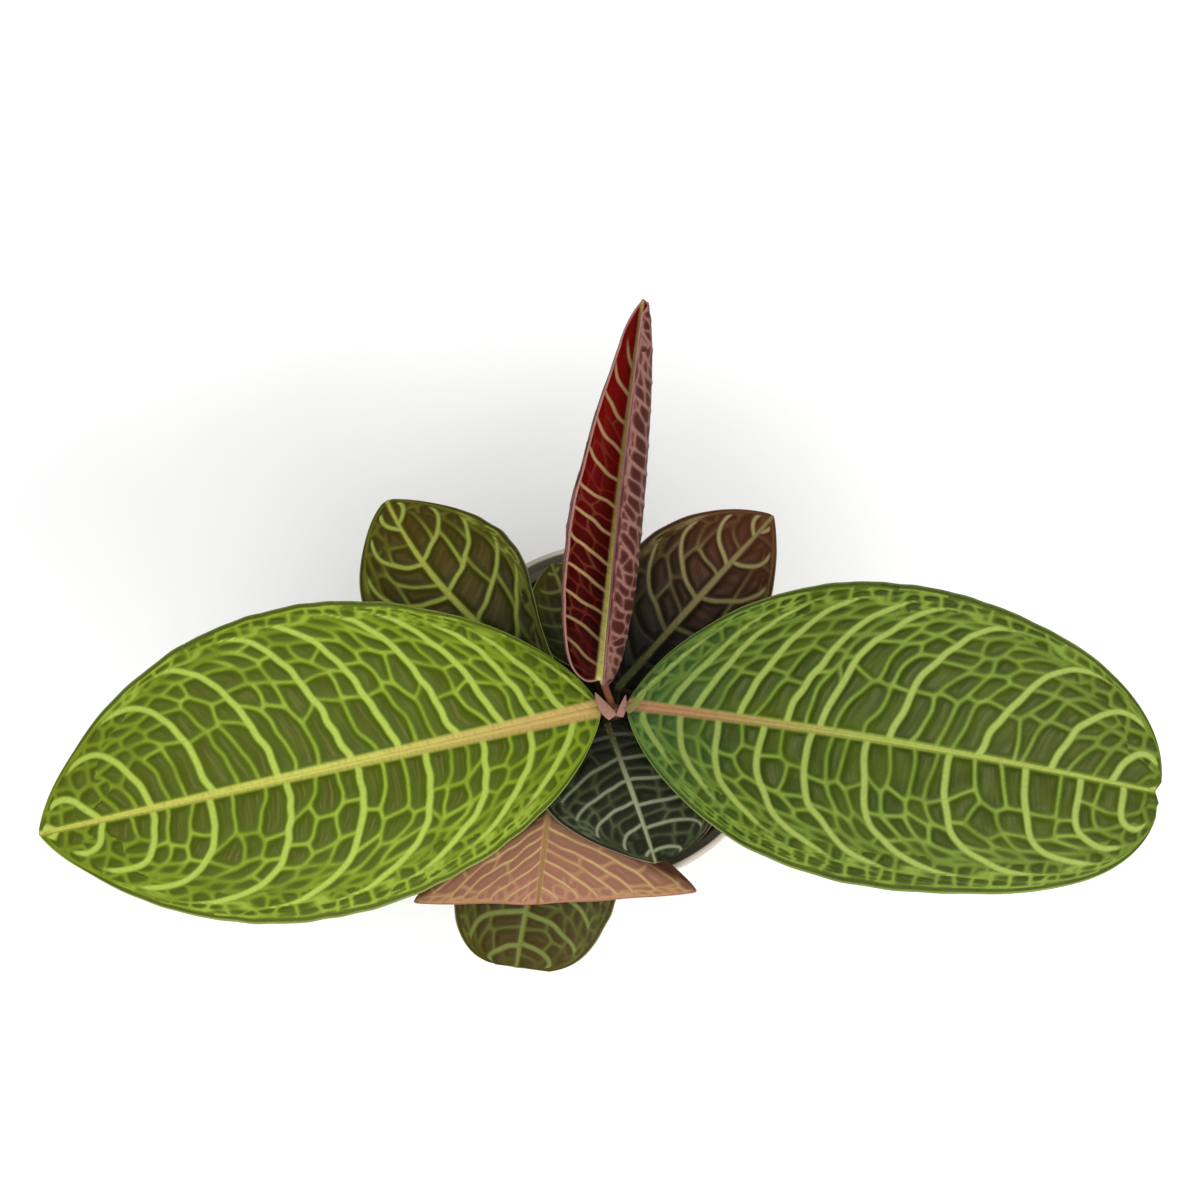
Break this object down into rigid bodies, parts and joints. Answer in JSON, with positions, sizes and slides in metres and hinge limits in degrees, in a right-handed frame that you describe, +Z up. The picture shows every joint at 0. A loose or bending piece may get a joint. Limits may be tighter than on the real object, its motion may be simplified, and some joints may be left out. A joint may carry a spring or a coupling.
{
  "type": "potted labisia plant",
  "caption": "Low foliage plant with broad net-veined leaves around a short stem, standing in a round tapered nursery pot filled with soil.",
  "frame": {"origin": "centre of the pot's flat underside, on the surface that it stands on", "axes": "+Z up, -Y the plant's front, +X to the right as seen from the front, along the two big leaves"},
  "size_m": [0.308, 0.1698, 0.2184],
  "materials": {
    "pot_plastic": "moulded, satin, warm greige",
    "potting_soil": "moist peat mix, rough",
    "stem_bark": "thin brown bark, matt",
    "green_leaf": "puckered blade, waxy satin, pale raised-looking veins",
    "young_red_leaf": "young blade, satin",
    "olive_leaf": "puckered blade, waxy satin",
    "bronze_brown_leaf": "puckered blade, waxy satin",
    "dark_leaf": "old blade, silvery veins, satin",
    "pink_bronze_leaf": "ageing blade, satin",
    "bud_scale": "dry scale, matt"
  },
  "bodies": {
    "root": {"pot": "pot_plastic", "soil": "potting_soil", "stem": "stem_bark", "leaf_left": "green_leaf", "leaf_right": "green_leaf", "leaf_young": "young_red_leaf", "leaf_back_left": "olive_leaf", "leaf_back_right": "bronze_brown_leaf", "leaf_front_dark": "dark_leaf", "leaf_front_bronze": "pink_bronze_leaf", "leaf_front_low": "olive_leaf", "leaf_behind": "olive_leaf", "bud_scale_left": "bud_scale", "bud_scale_right": "bud_scale", "stipule": "olive_leaf"}
  },
  "joints": []
}
